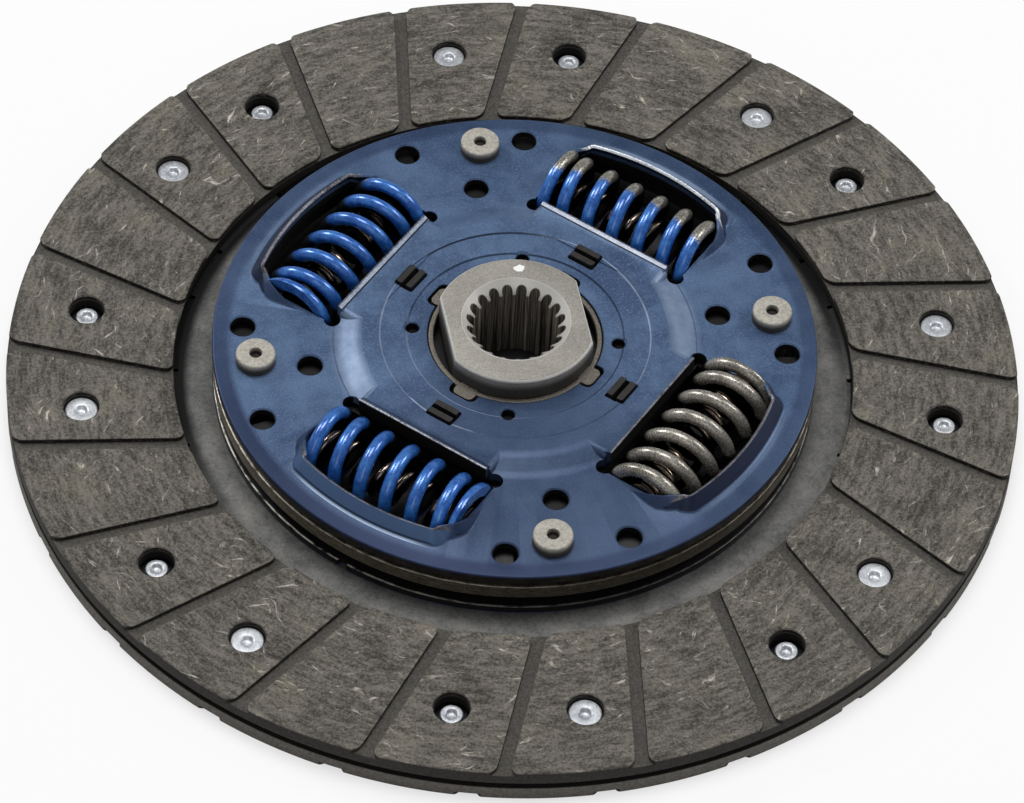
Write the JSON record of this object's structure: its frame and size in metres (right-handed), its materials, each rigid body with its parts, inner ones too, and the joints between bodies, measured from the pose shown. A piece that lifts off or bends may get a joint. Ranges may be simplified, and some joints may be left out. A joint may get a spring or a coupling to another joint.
{
  "type": "clutch disc",
  "caption": "Dry clutch disc: grooved riveted linings, cushion disc, splined hub and torsion damper with coil springs in lipped windows.",
  "frame": {"origin": "centre of the rear friction face, on the hub's axis", "axes": "+Z along the hub's axis towards the front, where the hub stands proud; X and Y through the middles between the spring windows"},
  "size_m": [0.215, 0.215, 0.0231],
  "materials": {
    "front_lining": "dull, fibrous",
    "rear_lining": "dull, fibrous",
    "cushion_disc": "tempered spring steel",
    "lining_rivets_front": "plated",
    "lining_rivets_rear": "plated",
    "carrier_rivets": "plain steel",
    "drive_plate": "satin blue phosphate",
    "retainer_plate": "satin blue phosphate",
    "stop_pins": "matt plated",
    "hub": "fine-blasted steel",
    "hub_flange": "bare hardened steel",
    "front_bush": "sintered metal",
    "pressure_ring": "glass-filled plastic",
    "front_spring_washer": "spring steel",
    "rear_bush": "sintered metal",
    "friction_ring": "friction plastic",
    "support_ring": "plain steel",
    "rear_spring_washer": "spring steel",
    "blue_spring": "gloss blue paint",
    "plain_spring": "shot-peened spring steel",
    "inner_spring": "spring steel"
  },
  "bodies": {
    "plates": {"front_lining": "front_lining", "rear_lining": "rear_lining", "cushion_disc": "cushion_disc", "lining_rivets_front": "lining_rivets_front", "lining_rivets_rear": "lining_rivets_rear", "carrier_rivets": "carrier_rivets", "drive_plate": "drive_plate", "retainer_plate": "retainer_plate", "stop_pins": "stop_pins", "front_bush": "front_bush", "pressure_ring": "pressure_ring", "front_spring_washer": "front_spring_washer", "rear_bush": "rear_bush", "friction_ring": "friction_ring", "support_ring": "support_ring", "rear_spring_washer": "rear_spring_washer"},
    "hub": {"hub": "hub", "hub_flange": "hub_flange"},
    "springs": {"outer_spring_1": "blue_spring", "outer_spring_2": "blue_spring", "outer_spring_3": "blue_spring", "outer_spring_4": "plain_spring", "inner_spring_1": "inner_spring", "inner_spring_2": "inner_spring", "inner_spring_3": "inner_spring", "inner_spring_4": "inner_spring"}
  },
  "joints": [
    {"name": "hub_twist", "type": "hinge", "parent": "plates", "child": "hub", "pos_m": [0, 0, 0.0114], "axis": [0, 0, 1], "range_deg": [-10, 4], "stiffness_Nm_per_rad": 600},
    {"name": "spring_float", "type": "hinge", "parent": "plates", "child": "springs", "pos_m": [0, 0, 0.0114], "axis": [0, 0, 1], "range_deg": [-5, 2], "deforming": ["outer_spring_1", "outer_spring_2", "outer_spring_3", "outer_spring_4", "inner_spring_1", "inner_spring_2", "inner_spring_3", "inner_spring_4"]}
  ],
  "couplings": [
    {"joint": "spring_float", "follows": "hub_twist", "ratio": 0.5}
  ]
}
